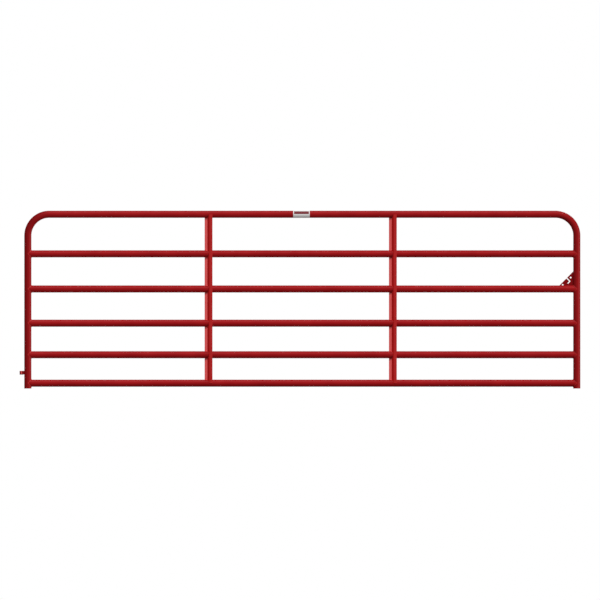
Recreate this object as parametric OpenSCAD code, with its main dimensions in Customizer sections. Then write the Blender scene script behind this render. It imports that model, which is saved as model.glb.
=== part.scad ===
// Field gate: a bent tube hoop, five straight rails, two formed stays,
// a slotted latch plate, a lower hinge and a blank label.
// X runs from the hinge to the latch, Y from front to back and Z up.
// The origin is on the hinge axis, at the foot of the bush that carries the gate.

/* [Tubes] */
// Width over the outer faces of the two stiles
gate_w = 3972; // [2900:1:4800]
// Outside diameter of the hoop and the rails
tube_od = 50.8; // [42:0.1:60]
// Wall of the hoop and the rails
tube_wall = 1.2; // [0.9:0.1:2.5]
// Centre-line radius of the two bends of the hoop
bend_radius = 152.4; // [80:0.1:200]
// Drop of the feet below the bottom rail
foot_drop = 12.7; // [5:0.1:40]

/* [Gaps between rails] */
// Clear gap above the bottom rail
bottom_gap = 152.4; // [110:0.1:200]
// Clear gap above the fifth rail
fifth_gap = 174.6; // [120:0.1:230]
// Clear gap above the fourth rail
fourth_gap = 193.7; // [120:0.1:240]
// Clear gap above the third rail
third_gap = 200; // [150:0.1:260]
// Clear gap above the second rail
second_gap = 231.8; // [190:0.1:300]

/* [Stays] */
// Distance between stays, and from the hinge stile's outer face to the first
stay_pitch = 1316.5; // [900:0.5:1350]
// Width of the flange that lies on the front of the rails
stay_front_w = 21; // [15:0.1:35]
// Width of the sloping web, seen from the front
stay_web_w = 13; // [9:0.1:20]
// Width of the back flange, seen from the front
stay_back_w = 20; // [12:0.1:35]
// Depth from the front flange to the back flange
stay_step = 18.5; // [12:0.1:22]
// Angle by which the back flange falls away from the web
stay_back_tilt = 11; // [0:1:25]
// Thickness of the stay's sheet
stay_t = 2; // [1.5:0.1:3]
// Inside radius of the stay's bends
stay_bend = 2.5; // [1.5:0.1:4]

/* [Latch plate] */
// Visible length of the plate along the third rail
plate_w = 98.5; // [88:0.5:120]
// Visible length of the plate along the latch stile
plate_h = 100; // [92:0.5:120]
// Thickness of the plate
plate_t = 5; // [3:0.1:6]
// Inset of the plate's back face from the back of the tubes
plate_inset = 2.9; // [1:0.1:8]
// Diameter of the two holes
hole_d = 12.2; // [9:0.1:14]
// Distance of the upper hole from the stile
upper_hole_in = 18.7; // [17:0.1:21]
// Height of the upper hole above the rail
upper_hole_up = 56.2; // [53:0.1:59]
// Distance of the lower hole from the stile
lower_hole_in = 75.5; // [70:0.1:78]
// Height of the lower hole above the rail
lower_hole_up = 4; // [3:0.1:6]
// Width of the chain slot
slot_w = 7; // [6:0.1:9]
// Distance of the slot's mouth from the plate's upper end
slot_mouth = 67; // [62:0.5:72]
// Length of the slot from its mouth to its corner
slot_in = 32.5; // [28:0.5:36]
// Length of the slot from its corner to its end
slot_run = 19.5; // [15:0.5:24]

/* [Lower hinge] */
// Height of the hinge's seat above the feet
hinge_seat_h = 99; // [75:0.5:130]
// Distance from the hinge axis to the hinge stile's outer face
hinge_reach = 19.8; // [16:0.1:30]
// Diameter of the bush's bore
bush_bore_d = 16.2; // [12:0.1:20]
// Wall of the bush
bush_wall = 2.3; // [1.5:0.1:2.5]
// Thickness of the bush's flange
bush_flange_t = 1.6; // [1:0.1:3]
// Wall of the sleeve
sleeve_wall = 2.9; // [2:0.1:3.2]
// Height of the sleeve
sleeve_h = 25.4; // [18:0.1:40]
// Thickness of the strap between sleeve and stile
strap_t = 12; // [6:0.1:16]

/* [Label] */
// Distance of the label's middle from the hinge stile's outer face
label_x = 1980; // [1500:1:2400]
// Width of the label along the top rail
label_w = 118; // [60:1:200]
// Angle that the label wraps round the front of the top rail
label_wrap = 200; // [90:1:300]
// Thickness of the label
label_t = 0.4; // [0.2:0.1:0.8]

/* [Fits] */
// Gap between parts that are welded together
weld_gap = 0.3; // [0.1:0.05:0.5]
// Gap between the stay's front flange and the rails
stay_seat_gap = 0.4; // [0.35:0.05:0.8]
// Gap between the label and the tube
label_gap = 0.1; // [0.05:0.05:0.2]
// Radial clearance between the bush and the sleeve
running_gap = 0.06; // [0.02:0.01:0.1]

/* [Hidden] */
$fn = 96;
bend_steps = 6;
cut = 1;
tube_r = tube_od / 2;
tube_bore_r = tube_r - tube_wall;
weld_r = tube_r + weld_gap;
feet_z = -hinge_seat_h;
bottom_z = feet_z + foot_drop + tube_r;
fifth_z = bottom_z + tube_od + bottom_gap;
fourth_z = fifth_z + tube_od + fifth_gap;
third_z = fourth_z + tube_od + fourth_gap;
second_z = third_z + tube_od + third_gap;
top_z = second_z + tube_od + second_gap;
hinge_stile_x = hinge_reach + tube_r;
latch_stile_x = hinge_reach + gate_w - tube_r;
bend_z = top_z - bend_radius;
stay_w = stay_front_w + stay_web_w + stay_back_w;
plate_y = tube_r - plate_inset - plate_t;
bush_r = bush_bore_d / 2 + bush_wall;
sleeve_bore_r = bush_r + running_gap;
sleeve_r = sleeve_bore_r + sleeve_wall;
hinge_h = bush_flange_t + sleeve_h;
paint = [0.58, 0.1, 0.11];
stay_paint = [0.72, 0.22, 0.23];
label_white = [0.93, 0.93, 0.92];
bush_grey = [0.3, 0.3, 0.31];

// Section of the tube, with its bore
module tube_section() {
    difference() {
        circle(r = tube_r);
        circle(r = tube_bore_r);
    }
}

// Straight tube along X
module tube_along_x(x, z, length) {
    translate([x, 0, z]) rotate([0, 90, 0]) linear_extrude(length) tube_section();
}

// Quarter bend in the plane of the gate, from the given angle up or over
module tube_bend(x, angle) {
    translate([x, 0, bend_z]) rotate([90, 0, 0]) rotate([0, 0, angle])
        rotate_extrude(angle = 90) translate([bend_radius, 0]) tube_section();
}

// Round cutter along X that clears a rail by the weld gap
module rail_cutter(z, x, length) {
    translate([x, 0, z]) rotate([0, 90, 0]) cylinder(r = weld_r, h = length);
}

// Round cutter along a stile that clears it by the weld gap
module stile_cutter(x, z, length) {
    translate([x, 0, z]) cylinder(r = weld_r, h = length);
}

// Both stiles and the top rail, bent from one tube
module frame_hoop() {
    color(paint) union() {
        for (x = [hinge_stile_x, latch_stile_x])
            translate([x, 0, feet_z]) linear_extrude(bend_z - feet_z) tube_section();
        tube_along_x(hinge_stile_x + bend_radius, top_z,
                     latch_stile_x - hinge_stile_x - 2 * bend_radius);
        tube_bend(hinge_stile_x + bend_radius, 90);
        tube_bend(latch_stile_x - bend_radius, 0);
    }
}

// Straight rail, saddle cut at both ends to fit the stiles
module rail(z) {
    color(paint) difference() {
        tube_along_x(hinge_stile_x, z, latch_stile_x - hinge_stile_x);
        for (x = [hinge_stile_x, latch_stile_x])
            stile_cutter(x, z - tube_od, 2 * tube_od);
    }
}

// Middle line of the stay's sheet, from the back flange to the front flange
stay_front_y = -(tube_r + stay_seat_gap + stay_t / 2);
stay_back_y = stay_front_y + stay_step;
stay_line = [[0, stay_back_y + stay_back_w * tan(stay_back_tilt)],
             [stay_back_w, stay_back_y],
             [stay_back_w + stay_web_w, stay_front_y],
             [stay_w, stay_front_y]];
function heading(a, b) = atan2(b[1] - a[1], b[0] - a[0]);
function beside(p, angle, side) = p + side * [-sin(angle), cos(angle)];

// Points round one bend of the sheet, at a distance to the left of its middle line
function bend_points(before, corner, after, side) =
    let (start = heading(before, corner),
         turn = heading(corner, after) - start,
         way = sign(turn),
         radius = stay_bend + stay_t / 2,
         centre = beside(corner - radius * tan(abs(turn) / 2) * [cos(start), sin(start)],
                         start, way * radius))
    [for (k = [0:bend_steps])
        beside(centre, start + turn * k / bend_steps, way * -(radius - way * side))];

// One face of the sheet, from the back flange's edge to the front flange's edge
function sheet_face(side) = concat(
    [beside(stay_line[0], heading(stay_line[0], stay_line[1]), side)],
    bend_points(stay_line[0], stay_line[1], stay_line[2], side),
    bend_points(stay_line[1], stay_line[2], stay_line[3], side),
    [beside(stay_line[3], heading(stay_line[2], stay_line[3]), side)]);

function reversed(list) = [for (k = [len(list) - 1:-1:0]) list[k]];

// Formed stay, notched for the rails, with its front flange on the front of every rail
module stay(number) {
    x = hinge_reach + number * stay_pitch - stay_w / 2;
    color(stay_paint) difference() {
        translate([x, 0, bottom_z])
            linear_extrude(top_z - bottom_z)
                polygon(concat(sheet_face(-stay_t / 2), reversed(sheet_face(stay_t / 2))));
        for (z = [bottom_z, fifth_z, fourth_z, third_z, second_z, top_z])
            rail_cutter(z, x - cut, stay_w + 2 * cut);
    }
}

// Corner between the latch stile's inner face and the top of the third rail
plate_corner = [latch_stile_x - tube_r, third_z + tube_r];
plate_slope = plate_h / plate_w;
plate_edge_angle = 180 + atan(plate_slope);

// Cutter through the plate at a distance in from the stile and up from the rail
module plate_hole(in, up) {
    translate([plate_corner[0] - in, plate_y - cut, plate_corner[1] + up])
        rotate([-90, 0, 0]) cylinder(d = hole_d, h = plate_t + 2 * cut);
}

// Cutter for the chain slot, which runs in from the sloping edge and turns down along it
module chain_slot() {
    length = plate_t + 2 * cut;
    translate([plate_corner[0], plate_y + plate_t + cut, plate_corner[1] + plate_h])
        rotate([90, 0, 0]) rotate([0, 0, plate_edge_angle]) translate([slot_mouth, 0, 0]) {
            translate([-slot_w / 2, -slot_w, 0]) cube([slot_w, slot_in + slot_w, length]);
            translate([0, slot_in, 0]) cylinder(d = slot_w, h = length);
            translate([0, slot_in - slot_w / 2, 0]) cube([slot_run, slot_w, length]);
            translate([slot_run, slot_in, 0]) cylinder(d = slot_w, h = length);
        }
}

// Corner plate behind the middle of the tubes, with two holes and the chain slot
module latch_plate() {
    middle = plate_corner + [tube_r, -tube_r];
    color(paint) difference() {
        translate([0, plate_y + plate_t, 0]) rotate([90, 0, 0]) linear_extrude(plate_t)
            polygon([middle,
                     middle + [0, tube_r + plate_h + tube_r * plate_slope],
                     middle - [tube_r + plate_w + tube_r / plate_slope, 0]]);
        stile_cutter(latch_stile_x, third_z - tube_r, 2 * tube_od + 2 * plate_h);
        rail_cutter(third_z, latch_stile_x - 2 * tube_od - 2 * plate_w, 3 * tube_od + 2 * plate_w);
        plate_hole(upper_hole_in, upper_hole_up);
        plate_hole(lower_hole_in, lower_hole_up);
        chain_slot();
    }
}

// Pipe sleeve that turns on the bush
module lower_hinge_sleeve() {
    color(paint) translate([0, 0, bush_flange_t]) difference() {
        cylinder(r = sleeve_r, h = sleeve_h);
        translate([0, 0, -cut]) cylinder(r = sleeve_bore_r, h = sleeve_h + 2 * cut);
    }
}

// Short strap, hollowed at both ends, that joins the sleeve to the stile
module lower_hinge_strap() {
    color(paint) difference() {
        translate([0, -strap_t / 2, bush_flange_t]) cube([hinge_stile_x, strap_t, sleeve_h]);
        translate([0, 0, bush_flange_t - cut])
            cylinder(r = sleeve_r + weld_gap, h = sleeve_h + 2 * cut);
        stile_cutter(hinge_stile_x, bush_flange_t - cut, sleeve_h + 2 * cut);
    }
}

// Flanged bush that stays on the fence's hinge pin while the gate turns
module lower_hinge_bush() {
    color(bush_grey) difference() {
        union() {
            cylinder(r = bush_r, h = hinge_h);
            cylinder(r = sleeve_r, h = bush_flange_t);
        }
        translate([0, 0, -cut]) cylinder(d = bush_bore_d, h = hinge_h + 2 * cut);
    }
}

// Blank label, wrapped round the front of the top rail
module label() {
    color(label_white) translate([hinge_reach + label_x - label_w / 2, 0, top_z])
        rotate([0, 90, 0]) rotate([0, 0, -90 - label_wrap / 2]) rotate_extrude(angle = label_wrap)
            translate([tube_r + label_gap, 0]) square([label_t, label_w]);
}

frame_hoop();
rail(second_z);  // second_rail
rail(third_z);  // third_rail
rail(fourth_z);  // fourth_rail
rail(fifth_z);  // fifth_rail
rail(bottom_z);  // bottom_rail
stay(1);  // hinge_side_stay
stay(2);  // latch_side_stay
latch_plate();
lower_hinge_sleeve();
lower_hinge_strap();
lower_hinge_bush();
label();
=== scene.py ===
"""Looks of the field gate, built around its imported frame. All lengths are in metres."""
import math
from collections import namedtuple

import bmesh
import bpy
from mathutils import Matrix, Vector
from mathutils.geometry import tessellate_polygon


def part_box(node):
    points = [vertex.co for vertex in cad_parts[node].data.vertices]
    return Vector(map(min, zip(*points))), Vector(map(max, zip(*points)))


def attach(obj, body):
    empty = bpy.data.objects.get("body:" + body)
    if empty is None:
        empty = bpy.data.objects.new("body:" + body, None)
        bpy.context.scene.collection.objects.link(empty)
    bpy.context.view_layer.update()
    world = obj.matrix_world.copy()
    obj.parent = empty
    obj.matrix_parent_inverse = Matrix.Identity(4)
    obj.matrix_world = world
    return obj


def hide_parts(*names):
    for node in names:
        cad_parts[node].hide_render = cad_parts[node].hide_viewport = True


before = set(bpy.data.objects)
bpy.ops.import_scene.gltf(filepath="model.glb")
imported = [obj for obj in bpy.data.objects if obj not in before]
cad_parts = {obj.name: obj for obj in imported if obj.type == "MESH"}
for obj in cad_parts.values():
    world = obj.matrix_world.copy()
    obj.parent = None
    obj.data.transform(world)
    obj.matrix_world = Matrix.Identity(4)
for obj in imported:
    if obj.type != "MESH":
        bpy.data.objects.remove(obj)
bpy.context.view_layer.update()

MM = 0.001
LEAF = "gate"
FIXED_SIDE = "hinge_bush"

# Sizes of the real pieces, as in the CAD model
TUBE_R = 25.4 * MM
TUBE_WALL = 1.2 * MM
BEND_R = 152.4 * MM
WELD_GAP = 0.3 * MM
WELD_R = TUBE_R + WELD_GAP
STAY_FRONT_W = 21 * MM
STAY_WEB_W = 13 * MM
STAY_BACK_W = 20 * MM
STAY_STEP = 18.5 * MM
STAY_TILT = math.radians(11)
STAY_T = 2 * MM
STAY_BEND = 2.5 * MM
STAY_SEAT_GAP = 0.4 * MM
PLATE_W = 98.5 * MM
PLATE_H = 100 * MM
HOLE_R = 6.1 * MM
UPPER_HOLE = (18.7 * MM, 56.2 * MM)
LOWER_HOLE = (75.5 * MM, 4 * MM)
SLOT_W = 7 * MM
SLOT_MOUTH = 67 * MM
SLOT_IN = 32.5 * MM
SLOT_RUN = 19.5 * MM
SLEEVE_R = 13.36 * MM
SLEEVE_BORE_R = 10.46 * MM
BUSH_R = 10.4 * MM
BUSH_BORE_R = 8.1 * MM
STRAP_T = 12 * MM
LABEL_GAP = 0.1 * MM
LABEL_R = TUBE_R + LABEL_GAP
LABEL_T = 0.4 * MM
LABEL_WRAP = math.radians(200)

# Rims and corners that only the scene has
CHAMFER = 0.6 * MM
FOOT_EDGE = 0.35 * MM
SLEEVE_RIM = 0.7 * MM
SLEEVE_RIM_CUT = 0.2 * MM
BUSH_RIM = 0.4 * MM
LABEL_CORNER = 6 * MM

# Weld beads, also only in the scene
RAIL_BEAD_R = 3.6 * MM
RAIL_BEAD_SINK = 0.66 * RAIL_BEAD_R
LIP_TOP_BEAD_R = 2.6 * MM
# The bead under a rail is the larger; in the darker coat it is a painted shadow below the rail
LIP_UNDER_BEAD_R = 4.2 * MM
LIP_BEAD_START = 0.12           # share of the back flange's width
WEB_BEAD_R = 1.5 * MM
WEB_BEAD_END = 0.98 * TUBE_R
PLATE_BEAD_R = 2.8 * MM
PLATE_BEAD_INSET = 8 * MM
HINGE_BEAD_R = 2.2 * MM
HINGE_BEAD_INSET = 2 * MM
BEAD_PITCH = 3 * MM
BEAD_RIPPLE = 0.09              # share of a bead's radius
BEAD_SWAY = 0.06                # share of a bead's radius
SWAY_RIPPLES = 6                # ripples in one sway
BEAD_END = 0.12                 # share of the full section at the end of an open bead
BEAD_TAPER = 1.6                # length of an open end's taper, in radii

# Fineness of the round shapes
TUBE_SIDES = 72
LATHE_SIDES = 72
BEND_STEPS = 28
SHEET_STEPS = 8
SHEET_EDGE_STEPS = 5
SLOT_CORNER_STEPS = 8
HOLE_SIDES = 40
STRAP_STEPS = 10
LABEL_ROWS = 48
LABEL_COLUMNS = 12
SEAM_POINTS = 288
BEAD_SIDES = 12
BEAD_STEP = 0.6 * MM
FEWEST_BEAD_STEPS = 4
SHARP_ANGLE = math.radians(34)
SLAB_ANGLE = math.radians(20)
BEAD_ANGLE = math.radians(80)
MERGE_DISTANCE = 1e-7
SLACK = 1e-9                    # for rounding errors along a path

# Places taken from the frame
RAIL_NODES = ["bottom_rail", "fifth_rail", "fourth_rail", "third_rail", "second_rail"]
STAY_NODES = ["hinge_side_stay", "latch_side_stay"]


def middle(node, axis):
    """Middle of a node's box along one axis."""
    low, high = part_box(node)
    return (low[axis] + high[axis]) / 2


hoop_low, hoop_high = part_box("frame_hoop")
plate_low, plate_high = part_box("latch_plate")
sleeve_low, sleeve_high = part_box("lower_hinge_sleeve")
bush_low, bush_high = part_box("lower_hinge_bush")
label_low, label_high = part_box("label")
feet_z = hoop_low[2]
top_z = hoop_high[2] - TUBE_R
hinge_x = hoop_low[0] + TUBE_R
latch_x = hoop_high[0] - TUBE_R
centre_x = (hinge_x + latch_x) / 2
label_x = middle("label", 0)
rail_zs = {node: middle(node, 2) for node in RAIL_NODES}
crossing_zs = list(rail_zs.values()) + [top_z]
third_z = rail_zs["third_rail"]


# Meshes


class Shape:
    """Points and faces gathered for one mesh, each face with the number of its material."""

    def __init__(self):
        self.points = []
        self.faces = []
        self.slots = []

    def add(self, points, faces, slots=None):
        """Adds faces that are numbered from the first of their own points."""
        start = len(self.points)
        self.points.extend(points)
        for face in faces:
            self.faces.append([start + index for index in face])
        self.slots.extend(slots or [0] * len(faces))

    def skin(self, rings, closed=False, caps=False, slot=0, side_slots=None):
        """Adds a surface through closed rings of equal count. Some sides may have their own material."""
        side_slots = side_slots or {}
        count = len(rings[0])
        faces = []
        slots = []
        for r in range(len(rings) if closed else len(rings) - 1):
            here = r * count
            there = (r + 1) % len(rings) * count
            for k in range(count):
                after = (k + 1) % count
                faces.append((here + k, here + after, there + after, there + k))
                slots.append(side_slots.get(k, slot))
        if caps:
            end = (len(rings) - 1) * count
            faces.append(range(count))
            faces.append(range(end, end + count))
            slots += [slot, slot]
        self.add([point for ring in rings for point in ring], faces, slots)


def new_item(name, data):
    """New object of the scene, with its mesh, lamp or camera."""
    item = bpy.data.objects.new(name, data)
    bpy.context.scene.collection.objects.link(item)
    return item


def make_object(name, shape, materials, sharp=SHARP_ANGLE):
    """Mesh object with outward faces, smooth but for its sharp edges."""
    mesh = bpy.data.meshes.new(name)
    mesh.from_pydata(shape.points, [], shape.faces)
    for material in materials:
        mesh.materials.append(material)
    mesh.polygons.foreach_set("material_index", shape.slots)
    tidy_mesh(mesh, sharp)
    return new_item(name, mesh)


def tidy_mesh(mesh, sharp=SHARP_ANGLE):
    """Merges doubled points, turns faces outward and sets smooth shading with sharp edges."""
    work = bmesh.new()
    work.from_mesh(mesh)
    bmesh.ops.remove_doubles(work, verts=work.verts, dist=MERGE_DISTANCE)
    bmesh.ops.recalc_face_normals(work, faces=work.faces)
    work.to_mesh(mesh)
    work.free()
    mesh.shade_smooth()
    mesh.set_sharp_from_angle(angle=sharp)


def dress(item, nodes=(), body=LEAF):
    """Makes a piece ride on its body and stand for its nodes, hiding their imported parts."""
    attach(item, body)
    if nodes:
        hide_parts(*nodes)
    return item


def moved_in(loop, depth):
    """Closed outline moved to its left by a depth."""
    moved = []
    for before, point, after in zip(loop[-1:] + loop[:-1], loop, loop[1:] + loop[:1]):
        first = (point - before).normalized()
        second = (after - point).normalized()
        left = Vector((-first.y - second.y, first.x + second.x))
        moved.append(point + left * depth / (1 + first.dot(second)))
    return moved


def slab(outline, holes, low, high, place):
    """Flat slab with chamfered rims. Its outline depends on the depth, and place sets a point in space."""
    shape = Shape()
    levels = ((low, CHAMFER), (low + CHAMFER, 0.0), (high - CHAMFER, 0.0), (high, CHAMFER))
    stacks = [[moved_in(outline(depth), inset) for depth, inset in levels]]
    stacks += [[moved_in(hole, -inset) for depth, inset in levels] for hole in holes]
    depths = [depth for depth, inset in levels]
    for stack in stacks:
        shape.skin([[place(p, depth) for p in loop] for loop, depth in zip(stack, depths)])
    for end in (0, -1):
        flat = [[p.to_3d() for p in stack[end]] for stack in stacks]
        points = [place(p, depths[end]) for loop in flat for p in loop]
        shape.add(points, tessellate_polygon(flat))
    return shape


def turns(count):
    """Angles of equal steps round a circle."""
    return [2 * math.pi * k / count for k in range(count)]


def arc(centre, radius, start, end, steps):
    """Points of an arc in a plane, with both ends."""
    angles = [start + (end - start) * k / steps for k in range(steps + 1)]
    return [(centre[0] + radius * math.cos(a), centre[1] + radius * math.sin(a)) for a in angles]


def lathe(profile):
    """Copies of a closed profile of radius and height, turned about the Z axis."""
    return [[Vector((r * math.cos(a), r * math.sin(a), z)) for r, z in profile] for a in turns(LATHE_SIDES)]


# Weld beads


def bead(shape, path, radius, closed, slot=0):
    """Adds a rippled weld bead along a path. An open bead tapers at both ends."""
    path = even_points(path, BEAD_STEP, closed)
    count = len(path)
    rings = []
    side = None
    for k, point in enumerate(path):
        before = path[k - 1] if closed or k > 0 else point
        after = path[(k + 1) % count] if closed or k < count - 1 else point
        along = (after - before).normalized()
        if side is None:
            side = along.orthogonal().normalized()
        side = (side - along * side.dot(along)).normalized()
        other = along.cross(side)
        turn = math.pi * k * BEAD_STEP / BEAD_PITCH
        ripple = BEAD_RIPPLE * (abs(math.sin(turn)) - 1)
        size = radius * (1 + ripple + BEAD_SWAY * math.sin(2 * turn / SWAY_RIPPLES))
        if not closed:
            from_end = min(k, count - 1 - k) * BEAD_STEP
            size *= math.sqrt(min(1.0, BEAD_END + from_end / (BEAD_TAPER * radius)))
        rings.append([point + size * (side * math.cos(a) + other * math.sin(a)) for a in turns(BEAD_SIDES)])
    if closed:
        rings = matched_loop(rings)
    shape.skin(rings, closed=closed, caps=not closed, slot=slot)


def matched_loop(rings):
    """Turns the rings of a loop bit by bit so that the last ring meets the first without a twist."""
    count = len(rings[0])
    first = rings[0][0]
    shift = min(range(count), key=lambda k: (rings[-1][k] - first).length)
    if shift > count / 2:
        shift -= count
    turned = []
    for number, ring in enumerate(rings):
        step = shift * number / (len(rings) - 1)
        whole = math.floor(step)
        part = step - whole
        turned.append([ring[(k + whole) % count].lerp(ring[(k + whole + 1) % count], part)
                       for k in range(count)])
    return turned


def even_points(path, step, closed):
    """Points at even steps along a path."""
    ends = path[1:] + path[:1] if closed else path[1:]
    pieces = list(zip(path, ends))
    total = sum((b - a).length for a, b in pieces)
    count = max(FEWEST_BEAD_STEPS, round(total / step))
    spacing = total / count
    points = []
    passed = 0.0
    due = 0.0
    for a, b in pieces:
        length = (b - a).length
        while due < passed + length - SLACK and len(points) < count:
            points.append(a.lerp(b, (due - passed) / length))
            due += spacing
        passed += length
    if not closed:
        points.append(path[-1])
    return points


def sunk(point, first_normal, second_normal, depth):
    """Point on a seam, sunk below the surface where its two faces run level with each other."""
    level = max(0.0, first_normal.dot(second_normal))
    return point - (first_normal + second_normal).normalized() * depth * level


# Materials


class Finish:
    """Node material of one look, with short ways to add the nodes that it needs."""

    def __init__(self, name):
        self.material = bpy.data.materials.new(name)
        self.material.use_nodes = True
        self.tree = self.material.node_tree
        self.place = self.tree.nodes.new("ShaderNodeTexCoord").outputs["Object"]

    def feed(self, node, inputs):
        """Links each input of a node, or sets it to a colour or a number."""
        for name, value in inputs.items():
            socket = node.inputs[name]
            if isinstance(value, bpy.types.NodeSocket):
                self.tree.links.new(value, socket)
            elif isinstance(value, tuple):
                socket.default_value = (*value, 1.0)
            else:
                socket.default_value = value

    def look(self, inputs):
        """Links or sets inputs of the material's shader."""
        self.feed(self.tree.nodes["Principled BSDF"], inputs)

    def axes(self):
        """The three coordinates of a point on the piece."""
        node = self.tree.nodes.new("ShaderNodeSeparateXYZ")
        self.feed(node, {"Vector": self.place})
        return node.outputs

    def noise(self, scale, detail=3.0):
        """Noise over the piece, finer with a larger scale."""
        node = self.tree.nodes.new("ShaderNodeTexNoise")
        self.feed(node, {"Vector": self.place, "Scale": scale, "Detail": detail})
        return node.outputs["Fac"]

    def spread(self, value, low=0.0, high=1.0, start=0.3, end=0.7):
        """Maps a value, by default from the usual range of a noise, onto the range of a setting."""
        node = self.tree.nodes.new("ShaderNodeMapRange")
        self.feed(node, {"Value": value, "From Min": start, "From Max": end, "To Min": low, "To Max": high})
        return node.outputs["Result"]

    def blend(self, factor, first, second):
        """Mixes two colours by a factor."""
        node = self.tree.nodes.new("ShaderNodeMix")
        node.data_type = "RGBA"
        self.feed(node, {"Factor": factor, "A": first, "B": second})
        return node.outputs["Result"]

    def work_out(self, operation, *values):
        """Result of one operation on numbers."""
        node = self.tree.nodes.new("ShaderNodeMath")
        node.operation = operation
        self.feed(node, dict(enumerate(values)))
        return node.outputs["Value"]

    def bump(self, height, strength, distance):
        """Normal of a surface with small heights on it."""
        node = self.tree.nodes.new("ShaderNodeBump")
        self.feed(node, {"Height": height, "Strength": strength, "Distance": distance})
        return node.outputs["Normal"]


# Colours of a powder coat, its shine, and the least and greatest roughness
Coat = namedtuple("Coat", "dark light specular smooth rough")
TUBE_COAT = Coat((0.33, 0.006, 0.008), (0.385, 0.009, 0.011), specular=0.06, smooth=0.40, rough=0.50)
STAY_COAT = Coat((0.435, 0.015, 0.015), (0.48, 0.019, 0.019), specular=0.14, smooth=0.34, rough=0.42)
# Pale coat of the stays' back flange: a painted highlight
STAY_LIP_SHEEN_COAT = Coat((0.92, 0.100, 0.100), (0.98, 0.110, 0.110), specular=0.30, smooth=0.30, rough=0.38)
# Web coat, lighter than the stay's own: painted light from the left
STAY_WEB_LIT_COAT = Coat((0.58, 0.011, 0.011), (0.63, 0.014, 0.014), specular=0.06, smooth=0.34, rough=0.42)
# Darker coat: painted shade on the plate, strap, sleeve and the beads that take it
SHADED_COAT = Coat((0.275, 0.005, 0.007), (0.32, 0.007, 0.009), specular=0.05, smooth=0.42, rough=0.52)

# Other colours, and where they lie
# Painted shade: its red, and how much of it lies on the stiles and round the bends
PAINTED_SHADE_RED = (0.12, 0.002, 0.003)
STILE_PAINTED_SHADE = 0.3
BEND_PAINTED_SHADE = 0.42
# Painted highlight down the hinge sleeve's front, and its half width round the sleeve
PAINTED_SHEEN_RED = (1.0, 0.15, 0.15)
PAINTED_SHEEN_HALF = math.radians(19)
STEEL_GREY = (0.16, 0.16, 0.165)
RUST_BROWN = (0.12, 0.045, 0.02)
NYLON_DARK = (0.058, 0.058, 0.06)
NYLON_LIGHT = (0.08, 0.08, 0.083)
VINYL_DARK = (0.80, 0.80, 0.79)
VINYL_LIGHT = (0.86, 0.86, 0.855)
BAR_RED = (0.17, 0.004, 0.012)
BAR_HALF_W = 53 * MM
BAR_HALF_H = 9.5 * MM
BAR_RISE = 11.5 * MM


def powder_coat(name, coat, painted_light=None):
    """Baked powder coat: slow changes of shade, orange peel and uneven gloss. Painted light, if given,
    alters its colour.
    """
    finish = Finish(name)
    colour = finish.blend(finish.spread(finish.noise(scale=7.0)), coat.dark, coat.light)
    peel = finish.noise(scale=520.0, detail=1.0)
    finish.look({"Base Color": painted_light(finish, colour) if painted_light else colour,
                 "Roughness": finish.spread(finish.noise(scale=45.0), coat.smooth, coat.rough),
                 "Specular IOR Level": coat.specular,
                 "Normal": finish.bump(peel, strength=0.6, distance=0.2 * MM)})
    return finish.material


def painted_shade_sides(finish, colour):
    """Painted shade on the hoop: a little darker on its stiles and more so round its two bends."""
    axes = finish.axes()
    reach = centre_x - hinge_x
    aside = finish.work_out("ABSOLUTE", finish.work_out("SUBTRACT", axes["X"], centre_x))
    near_stile = finish.spread(aside, start=reach - BEND_R, end=reach - BEND_R / 3)
    near_top = finish.spread(axes["Z"], STILE_PAINTED_SHADE, BEND_PAINTED_SHADE,
                             start=top_z - 1.2 * BEND_R, end=top_z - BEND_R / 3)
    return finish.blend(finish.work_out("MULTIPLY", near_stile, near_top), colour, PAINTED_SHADE_RED)


def painted_sheen_front(finish, colour):
    """Painted highlight on the hinge sleeve: paler along the line of its front."""
    sheen_edge = -SLEEVE_R * math.cos(PAINTED_SHEEN_HALF)
    front = finish.spread(finish.axes()["Y"], 1.0, 0.0, start=-SLEEVE_R, end=sheen_edge)
    return finish.blend(front, colour, PAINTED_SHEEN_RED)


def bare_steel():
    """Grey steel inside the tubes, with a bloom of rust."""
    finish = Finish("bare_steel")
    rust = finish.spread(finish.noise(scale=60.0, detail=6.0), start=0.5, end=0.75)
    finish.look({"Base Color": finish.blend(rust, STEEL_GREY, RUST_BROWN),
                 "Roughness": finish.spread(rust, 0.45, 0.8, start=0.0, end=1.0),
                 "Metallic": 0.6})
    return finish.material


def moulded_plastic():
    """Dark grey nylon of the bush, with a fine moulded grain."""
    finish = Finish("bush_nylon")
    cloud = finish.noise(scale=120.0)
    grain = finish.noise(scale=2600.0, detail=1.0)
    finish.look({"Base Color": finish.blend(finish.spread(cloud), NYLON_DARK, NYLON_LIGHT),
                 "Roughness": finish.spread(cloud, 0.42, 0.56),
                 "Normal": finish.bump(grain, strength=0.2, distance=0.08 * MM)})
    return finish.material


def label_film():
    """White vinyl with one plain dark red bar across its upper half."""
    finish = Finish("label_vinyl")
    axes = finish.axes()
    across = finish.work_out("COMPARE", axes["X"], label_x, BAR_HALF_W)
    upward = finish.work_out("COMPARE", axes["Z"], top_z + BAR_RISE, BAR_HALF_H)
    in_bar = finish.work_out("MULTIPLY", across, upward)
    white = finish.blend(finish.spread(finish.noise(scale=90.0)), VINYL_DARK, VINYL_LIGHT)
    grain = finish.noise(scale=1500.0, detail=1.0)
    finish.look({"Base Color": finish.blend(in_bar, white, BAR_RED),
                 "Roughness": 0.42,
                 "Specular IOR Level": 0.15,
                 "Normal": finish.bump(grain, strength=0.12, distance=0.05 * MM)})
    return finish.material


tube_paint = powder_coat("red_powder_coat", TUBE_COAT)
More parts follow.
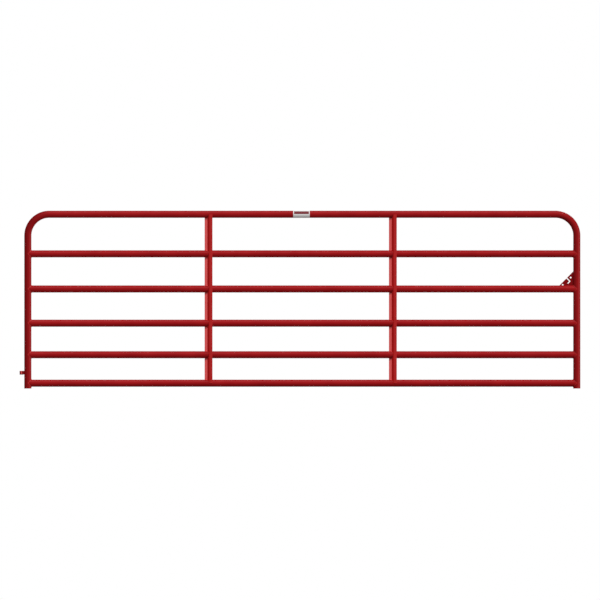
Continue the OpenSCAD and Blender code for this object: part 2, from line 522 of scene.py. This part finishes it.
# The hoop's coat carries painted shade on its stiles and bends
hoop_shaded_paint = powder_coat("hoop_powder_coat_painted_shade", TUBE_COAT, painted_shade_sides)
stay_paint = powder_coat("stay_powder_coat", STAY_COAT)
# Painted highlight on the stays' back flange, and painted light on their webs
stay_lip_sheen_paint = powder_coat("stay_lip_painted_sheen_coat", STAY_LIP_SHEEN_COAT)
stay_web_lit_paint = powder_coat("stay_web_painted_light_coat", STAY_WEB_LIT_COAT)
# Darker coat, painted shade
shaded_paint = powder_coat("plate_painted_shade_coat", SHADED_COAT)
# The sleeve has the darker coat, painted shade, with a painted highlight down its front
sleeve_shade_and_sheen_paint = powder_coat("sleeve_painted_shade_and_sheen_coat", SHADED_COAT, painted_sheen_front)
steel = bare_steel()
nylon = moulded_plastic()
vinyl = label_film()


# Tubes


def tube_ring(centre, inward, radius):
    """Ring of a tube that runs in the plane of the gate."""
    side = Vector((0, 1, 0))
    return [centre + radius * (inward * math.cos(a) + side * math.sin(a)) for a in turns(TUBE_SIDES)]


def hoop_path():
    """Middle line of the hoop, as points each with a normal in the plane of the gate."""
    bend_z = top_z - BEND_R
    stile_zs = [feet_z, feet_z + TUBE_R, (feet_z + bend_z) / 2]
    path = [(Vector((hinge_x, 0, z)), Vector((1, 0, 0))) for z in stile_zs]
    for x, start in ((hinge_x + BEND_R, math.pi), (latch_x - BEND_R, math.pi / 2)):
        for k in range(BEND_STEPS + 1):
            angle = start - math.pi / 2 * k / BEND_STEPS
            outward = Vector((math.cos(angle), 0, math.sin(angle)))
            path.append((Vector((x, 0, bend_z)) + BEND_R * outward, -outward))
    path += [(Vector((latch_x, 0, z)), Vector((-1, 0, 0))) for z in reversed(stile_zs)]
    return path


def make_hoop():
    """Both stiles and the top rail, bent from one tube, open at the feet."""
    path = hoop_path()
    shape = Shape()
    lift = Vector((0, 0, FOOT_EDGE))
    outer = [tube_ring(point, inward, TUBE_R) for point, inward in path]
    for end in (0, -1):
        point, inward = path[end]
        outer[end] = tube_ring(point + lift, inward, TUBE_R)
    first, last = [tube_ring(*path[end], TUBE_R - FOOT_EDGE) for end in (0, -1)]
    inner = [tube_ring(point, inward, TUBE_R - TUBE_WALL) for point, inward in path]
    paints = [hoop_shaded_paint, steel]
    shape.skin([inner[0], first] + outer + [last, inner[-1]], slot=paints.index(hoop_shaded_paint))
    shape.skin(inner, slot=paints.index(steel))
    item = make_object("hoop_tube", shape, paints)
    return dress(item, ["frame_hoop"])


def saddle(stile_x, way, radius, z):
    """End ring of a rail, cut to the round of a stile."""
    ring = []
    for a in turns(TUBE_SIDES):
        y = radius * math.cos(a)
        x = stile_x + way * math.sqrt(WELD_R ** 2 - y ** 2)
        ring.append(Vector((x, y, z + radius * math.sin(a))))
    return ring


def straight_ring(x, radius, z):
    """Ring of a rail, square to it."""
    return [Vector((x, radius * math.cos(a), z + radius * math.sin(a))) for a in turns(TUBE_SIDES)]


def rail_rings(radius, z):
    """Rings of one face of a rail, from stile to stile."""
    stops = (hinge_x + 3 * TUBE_R, centre_x, latch_x - 3 * TUBE_R)
    middles = [straight_ring(x, radius, z) for x in stops]
    return [saddle(hinge_x, 1, radius, z)] + middles + [saddle(latch_x, -1, radius, z)]


def make_rail(node):
    """Straight rail, saddle cut at both ends."""
    z = rail_zs[node]
    outer = rail_rings(TUBE_R, z)
    inner = rail_rings(TUBE_R - TUBE_WALL, z)
    paints = [tube_paint, steel]
    shape = Shape()
    shape.skin([inner[0]] + outer + [inner[-1]], slot=paints.index(tube_paint))
    shape.skin(inner, slot=paints.index(steel))
    item = make_object(node.replace("_rail", "_rail_tube"), shape, paints)
    return dress(item, [node])


def make_rail_beads():
    """Weld beads round both ends of every rail."""
    shape = Shape()
    for z in rail_zs.values():
        for x, way in ((hinge_x, 1), (latch_x, -1)):
            path = []
            for a in turns(SEAM_POINTS):
                rail_normal = Vector((0, math.cos(a), math.sin(a)))
                y = TUBE_R * math.cos(a)
                reach = math.sqrt(max(0.0, TUBE_R ** 2 - y ** 2))
                stile_normal = Vector((way * reach, y, 0)) / TUBE_R
                seam = Vector((x + way * reach, y, z + TUBE_R * math.sin(a)))
                path.append(sunk(seam, rail_normal, stile_normal, RAIL_BEAD_SINK))
            bead(shape, path, RAIL_BEAD_R, closed=True)
    return dress(make_object("rail_weld_beads", shape, [stay_paint], BEAD_ANGLE))


# Stays


def stay_section():
    """Front and back faces of a stay's sheet, as points across the gate and in depth."""
    front_y = -(TUBE_R + STAY_SEAT_GAP + STAY_T / 2)
    back_y = front_y + STAY_STEP
    line = [Vector((0, back_y + STAY_BACK_W * math.tan(STAY_TILT))),
            Vector((STAY_BACK_W, back_y)),
            Vector((STAY_BACK_W + STAY_WEB_W, front_y)),
            Vector((STAY_BACK_W + STAY_WEB_W + STAY_FRONT_W, front_y))]
    return sheet_face(line, -STAY_T / 2), sheet_face(line, STAY_T / 2)


def beside(point, heading, side):
    """Point at a distance to the left of a line."""
    return point + side * Vector((-math.sin(heading), math.cos(heading)))


def sheet_face(line, side):
    """One face of a bent sheet, at a distance to the left of its middle line."""
    headings = [math.atan2((b - a).y, (b - a).x) for a, b in zip(line, line[1:])]
    radius = STAY_BEND + STAY_T / 2
    points = [beside(line[0], headings[0], side)]
    for corner, start, end in zip(line[1:], headings, headings[1:]):
        turn = end - start
        way = math.copysign(1, turn)
        back = radius * math.tan(abs(turn) / 2) * Vector((math.cos(start), math.sin(start)))
        centre = beside(corner - back, start, way * radius)
        for k in range(SHEET_STEPS + 1):
            points.append(beside(centre, start + turn * k / SHEET_STEPS, side - way * radius))
    points.append(beside(line[-1], headings[-1], side))
    return points


def rounded_end(face_point, other_point):
    """Half circle that closes the edge of the sheet, between its two faces."""
    centre = (face_point + other_point) / 2
    start = face_point - centre
    angles = [math.pi * k / SHEET_EDGE_STEPS for k in range(1, SHEET_EDGE_STEPS)]
    return [centre + Vector((start.x * math.cos(a) - start.y * math.sin(a),
                             start.x * math.sin(a) + start.y * math.cos(a))) for a in angles]


def make_stay(node):
    """Formed stay, notched for the rails. A pale coat on its back flange is a painted highlight, and a
    lighter coat on its web is painted light.
    """
    front, back = stay_section()
    faces = front + rounded_end(front[-1], back[-1]) + back[::-1]
    outline = faces + rounded_end(back[0], front[0])
    paints = [stay_paint, stay_lip_sheen_paint, stay_web_lit_paint]
    # Each side of the outline has the number of its first point
    sheen_sides = [0, *range(len(faces) - 1, len(outline))]
    web_sides = range(1, 2 * SHEET_STEPS + 2)
    # The back flange's front and left edge take the painted highlight; the bends and web take the painted
    # light
    side_slots = {side: paints.index(stay_lip_sheen_paint) for side in sheen_sides}
    side_slots.update({side: paints.index(stay_web_lit_paint) for side in web_sides})
    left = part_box(node)[0][0]
    shape = Shape()
    rings = [[Vector((left + p.x, p.y, z)) for p in outline] for z in (crossing_zs[0], crossing_zs[-1])]
    shape.skin(rings, caps=True, side_slots=side_slots)
    item = make_object(node.replace("_stay", "_stay_sheet"), shape, paints)
    cutters = Shape()
    cutter_xs = (left - STAY_FRONT_W, left + STAY_BACK_W + STAY_WEB_W + 2 * STAY_FRONT_W)
    for z in crossing_zs:
        cutters.skin([straight_ring(x, WELD_R, z) for x in cutter_xs], caps=True)
    cut_away(item, make_object("stay_cutters", cutters, []))
    return dress(item, [node])


def cut_away(item, cutter):
    """Cuts one mesh out of another for good."""
    cut = item.modifiers.new("cut", "BOOLEAN")
    cut.operation = "DIFFERENCE"
    cut.solver = "EXACT"
    cut.object = cutter
    bpy.context.view_layer.update()
    result = bpy.data.meshes.new_from_object(item.evaluated_get(bpy.context.evaluated_depsgraph_get()))
    item.modifiers.remove(cut)
    item.data = result
    bpy.data.objects.remove(cutter)
    tidy_mesh(result)


def make_stay_beads():
    """Short weld beads where the back flange of each stay meets the rails, and thin ones along its web."""
    front = stay_section()[0]
    fold = SHEET_STEPS + 1
    lip = [front[0].lerp(front[1], LIP_BEAD_START)] + front[1:fold + 1]
    web_start, web_end = front[fold], front[fold + 1]
    reach = (-WEB_BEAD_END - web_start.y) / (web_end.y - web_start.y)
    web = [web_start.lerp(web_end, reach * k / SHEET_STEPS) for k in range(SHEET_STEPS + 1)]
    paints = [stay_lip_sheen_paint, shaded_paint, stay_web_lit_paint]
    # Beads over a rail take the painted highlight and beads under it the darker coat, a painted shadow; web
    # beads take the web's painted light
    over = (1, crossing_zs[:-1], LIP_TOP_BEAD_R, stay_lip_sheen_paint)
    under = (-1, crossing_zs[1:], LIP_UNDER_BEAD_R, shaded_paint)
    shape = Shape()
    for node in STAY_NODES:
        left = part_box(node)[0][0]
        for way, zs, lip_bead_r, lip_paint in (over, under):
            for z in zs:
                for seam, radius, paint in ((lip, lip_bead_r, lip_paint), (web, WEB_BEAD_R, stay_web_lit_paint)):
                    path = [Vector((left + p.x, p.y, z + way * math.sqrt(TUBE_R ** 2 - p.y ** 2)))
                            for p in seam]
                    bead(shape, path, radius, closed=False, slot=paints.index(paint))
    return dress(make_object("stay_weld_beads", shape, paints, BEAD_ANGLE))


# Latch plate


def plate_outline(y):
    """Outline of the latch plate at one depth, with the chain slot cut in from its sloping edge."""
    reach = math.sqrt(WELD_R ** 2 - y ** 2)
    corner = Vector((latch_x - TUBE_R, third_z + TUBE_R))
    upper = corner + Vector((0, PLATE_H))
    lower = corner - Vector((PLATE_W, 0))
    slope = PLATE_H / PLATE_W
    right = latch_x - reach
    bottom = third_z + reach
    down = (lower - upper).normalized()
    inward = Vector((-down.y, down.x))
    half = SLOT_W / 2
    slot = [(SLOT_MOUTH - half, 0.0)]
    slot += arc((SLOT_MOUTH, SLOT_IN), half, math.pi, math.pi / 2, SLOT_CORNER_STEPS)
    slot += arc((SLOT_MOUTH + SLOT_RUN, SLOT_IN), half, math.pi / 2, -math.pi / 2, 2 * SLOT_CORNER_STEPS)
    slot += [(SLOT_MOUTH + half, SLOT_IN - half), (SLOT_MOUTH + half, 0.0)]
    outline = [Vector((right, bottom)), Vector((right, upper.y + (right - upper.x) * slope))]
    outline += [upper + down * along + inward * across for along, across in slot]
    outline.append(Vector((lower.x + (bottom - lower.y) / slope, bottom)))
    return outline


def plate_hole(hole):
    """Outline of one round hole of the latch plate, placed by its distance in and up from the corner."""
    centre = (latch_x - TUBE_R - hole[0], third_z + TUBE_R + hole[1])
    return [Vector(p) for p in arc(centre, HOLE_R, 0.0, 2 * math.pi, HOLE_SIDES)[:-1]]


def make_plate():
    """Corner plate with two holes and the chain slot."""
    holes = [plate_hole(UPPER_HOLE), plate_hole(LOWER_HOLE)]
    shape = slab(plate_outline, holes, plate_low[1], plate_high[1], lambda p, y: Vector((p.x, y, p.y)))
    # The plate's darker coat is painted shade
    item = make_object("latch_plate_sheet", shape, [shaded_paint], SLAB_ANGLE)
    return dress(item, ["latch_plate"])


def make_plate_beads():
    """Weld beads that join the latch plate to the stile and the third rail, on both faces."""
    shape = Shape()
    for y in (plate_low[1], plate_high[1]):
        reach = math.sqrt(TUBE_R ** 2 - y ** 2)
        corner = Vector((latch_x - reach, y, third_z + reach))
        for way, length in ((Vector((0, 0, 1)), PLATE_H), (Vector((-1, 0, 0)), PLATE_W)):
            bead(shape, [corner + way * PLATE_BEAD_INSET, corner + way * length], PLATE_BEAD_R, closed=False)
    # Painted shade: these beads take the darker coat
    return dress(make_object("plate_weld_beads", shape, [shaded_paint], BEAD_ANGLE))


# Lower hinge


def make_sleeve():
    """Pipe sleeve with rounded rims."""
    low, high = sleeve_low[2], sleeve_high[2]
    rim = [(SLEEVE_RIM, 0.0), (SLEEVE_RIM_CUT, SLEEVE_RIM_CUT), (0.0, SLEEVE_RIM)]
    lower_rim = [(SLEEVE_R - across, low + along) for across, along in rim]
    upper_rim = [(SLEEVE_R - across, high - along) for across, along in reversed(rim)]
    shape = Shape()
    shape.skin(lathe([(SLEEVE_BORE_R, low), *lower_rim, *upper_rim, (SLEEVE_BORE_R, high)]), closed=True)
    # Painted shade and a painted highlight on the sleeve
    item = make_object("hinge_sleeve_pipe", shape, [sleeve_shade_and_sheen_paint])
    return dress(item, ["lower_hinge_sleeve"])


def make_bush():
    """Flanged bush with chamfered rims."""
    low, high = bush_low[2], bush_high[2]
    flange = sleeve_low[2]
    profile = [(BUSH_BORE_R + BUSH_RIM, low), (SLEEVE_R - BUSH_RIM, low),
               (SLEEVE_R, low + BUSH_RIM), (SLEEVE_R, flange),
               (BUSH_R, flange), (BUSH_R, high - BUSH_RIM),
               (BUSH_R - BUSH_RIM, high), (BUSH_BORE_R + BUSH_RIM, high),
               (BUSH_BORE_R, high - BUSH_RIM), (BUSH_BORE_R, low + BUSH_RIM)]
    shape = Shape()
    shape.skin(lathe(profile), closed=True)
    item = make_object("hinge_bush_liner", shape, [nylon])
    return dress(item, ["lower_hinge_bush"], FIXED_SIDE)


def make_strap():
    """Short strap between sleeve and stile, hollowed at both ends."""
    ys = [STRAP_T * (k / STRAP_STEPS - 0.5) for k in range(STRAP_STEPS + 1)]
    outline = [Vector((hinge_x - math.sqrt(WELD_R ** 2 - y * y), y)) for y in ys]
    outline += [Vector((math.sqrt((SLEEVE_R + WELD_GAP) ** 2 - y * y), y)) for y in reversed(ys)]
    shape = slab(lambda z: outline, [], sleeve_low[2], sleeve_high[2], lambda p, z: Vector((p.x, p.y, z)))
    # The strap's darker coat is painted shade
    item = make_object("hinge_strap_block", shape, [shaded_paint], SLAB_ANGLE)
    return dress(item, ["lower_hinge_strap"])


def make_hinge_beads():
    """Upright weld beads along both sides of the strap."""
    shape = Shape()
    low = sleeve_low[2] + HINGE_BEAD_INSET
    high = sleeve_high[2] - HINGE_BEAD_INSET
    for y in (-STRAP_T / 2, STRAP_T / 2):
        for x in (math.sqrt(SLEEVE_R ** 2 - y * y), hinge_x - math.sqrt(TUBE_R ** 2 - y * y)):
            bead(shape, [Vector((x, y, low)), Vector((x, y, high))], HINGE_BEAD_R, closed=False)
    # Painted shade: these beads take the darker coat
    return dress(make_object("hinge_weld_beads", shape, [shaded_paint], BEAD_ANGLE))


# Label


def label_row(turn, radius):
    """Row of points along the label, at one angle round the top rail. It shortens round the corners."""
    from_edge = (LABEL_WRAP / 2 - abs(turn)) * LABEL_R
    into = max(0.0, LABEL_CORNER - from_edge)
    full = (label_high[0] - label_low[0]) / 2
    half = full - LABEL_CORNER + math.sqrt(LABEL_CORNER ** 2 - into ** 2)
    xs = [label_x + half * (2 * c / LABEL_COLUMNS - 1) for c in range(LABEL_COLUMNS + 1)]
    return [Vector((x, -radius * math.cos(turn), top_z + radius * math.sin(turn))) for x in xs]


def make_label():
    """Thin label with rounded corners, wrapped round the front of the top rail."""
    rings = []
    for r in range(LABEL_ROWS + 1):
        turn = LABEL_WRAP * (r / LABEL_ROWS - 0.5)
        rings.append(label_row(turn, LABEL_R + LABEL_T) + label_row(turn, LABEL_R)[::-1])
    shape = Shape()
    shape.skin(rings, caps=True)
    return dress(make_object("blank_label", shape, [vinyl]), ["label"])


make_hoop()
for rail_node in RAIL_NODES:
    make_rail(rail_node)
make_rail_beads()
for stay_node in STAY_NODES:
    make_stay(stay_node)
make_stay_beads()
make_plate()
make_plate_beads()
make_sleeve()
make_bush()
make_strap()
make_hinge_beads()
make_label()


# Stage

FLOOR_HALF = 60.0
FLOOR_GREY = (0.26, 0.26, 0.26, 1.0)
FLOOR_WHITE = (0.95, 0.95, 0.95, 1.0)
FLOOR_GLOW = 0.15
WHITE = (1.0, 1.0, 1.0, 1.0)
WORLD_LIGHT = 0.15
PICTURE_W = 4.2857
PICTURE_MIDDLE_X = 1.9893
PICTURE_MIDDLE_Z = 0.5333
CAMERA_DISTANCE = 8.0
VIEW_DEPTH = 200.0
LAMP_SPREAD = math.radians(9)

# Strength of each lamp, and its degrees to the right of straight in front and upward
Lamp = namedtuple("Lamp", "name strength azimuth elevation")
LAMPS = (Lamp("key", 0.69, 11, 60), Lamp("side", 0.62, 74, 5),
         Lamp("fill", 0.09, -20, 10), Lamp("back", 0.25, 165, 38))


def lit_and_seen(tree, kind, output, for_light, as_seen):
    """Surface of two shaders of one kind, the first for light and the second as the camera sees it."""
    mix = tree.nodes.new("ShaderNodeMixShader")
    tree.links.new(tree.nodes.new("ShaderNodeLightPath").outputs["Is Camera Ray"], mix.inputs["Fac"])
    for socket, settings in ((mix.inputs[1], for_light), (mix.inputs[2], as_seen)):
        shader = tree.nodes.new(kind)
        for name, value in settings.items():
            shader.inputs[name].default_value = value
        tree.links.new(shader.outputs[0], socket)
    tree.links.new(mix.outputs["Shader"], tree.nodes[output].inputs["Surface"])


def make_floor():
    """Plain pale floor at the gate's feet."""
    shape = Shape()
    corners = ((-1, -1), (1, -1), (1, 1), (-1, 1))
    centre = Vector((centre_x, 0, feet_z))
    shape.add([centre + FLOOR_HALF * Vector((x, y, 0)) for x, y in corners], [(0, 1, 2, 3)])
    material = bpy.data.materials.new("pale_floor")
    material.use_nodes = True
    tree = material.node_tree
    tree.nodes.remove(tree.nodes["Principled BSDF"])
    for_light = {"Base Color": FLOOR_GREY, "Specular IOR Level": 0.0, "Roughness": 1.0}
    as_seen = {**for_light, "Base Color": FLOOR_WHITE,
               "Emission Color": WHITE, "Emission Strength": FLOOR_GLOW}
    lit_and_seen(tree, "ShaderNodeBsdfPrincipled", "Material Output", for_light, as_seen)
    floor = make_object("floor", shape, [material])


def make_world():
    """White surroundings that light the gate only softly."""
    world = bpy.data.worlds.new("studio")
    world.use_nodes = True
    bpy.context.scene.world = world
    tree = world.node_tree
    tree.nodes.remove(tree.nodes["Background"])
    lit_and_seen(tree, "ShaderNodeBackground", "World Output",
                 {"Color": WHITE, "Strength": WORLD_LIGHT}, {"Color": WHITE, "Strength": 1.0})


def aim(item, direction):
    """Turns a lamp or camera to look along a direction."""
    item.rotation_euler = Vector(direction).to_track_quat("-Z", "Y").to_euler()


def from_front(azimuth, elevation):
    """Direction towards a place seen from the gate, to the right and up from straight in front."""
    azimuth, elevation = math.radians(azimuth), math.radians(elevation)
    level = math.cos(elevation)
    return Vector((level * math.sin(azimuth), -level * math.cos(azimuth), math.sin(elevation)))


def make_lights():
    """Key light from above the front, a low one from the right, and weak ones from the left and behind."""
    for lamp in LAMPS:
        sun = bpy.data.lights.new(lamp.name, "SUN")
        sun.energy = lamp.strength * math.pi
        sun.angle = LAMP_SPREAD
        item = new_item(lamp.name, sun)
        item.visible_camera = False
        aim(item, -from_front(lamp.azimuth, lamp.elevation))


def make_camera():
    """Straight front view, with the photograph's framing."""
    camera = bpy.data.cameras.new("camera")
    camera.type = "ORTHO"
    camera.ortho_scale = PICTURE_W
    camera.clip_end = VIEW_DEPTH
    item = new_item("camera", camera)
    item.location = (PICTURE_MIDDLE_X, -CAMERA_DISTANCE, PICTURE_MIDDLE_Z)
    aim(item, (0, 1, 0))
    bpy.context.scene.camera = item


make_floor()
make_world()
make_lights()
make_camera()
bpy.context.scene.view_settings.view_transform = "Standard"
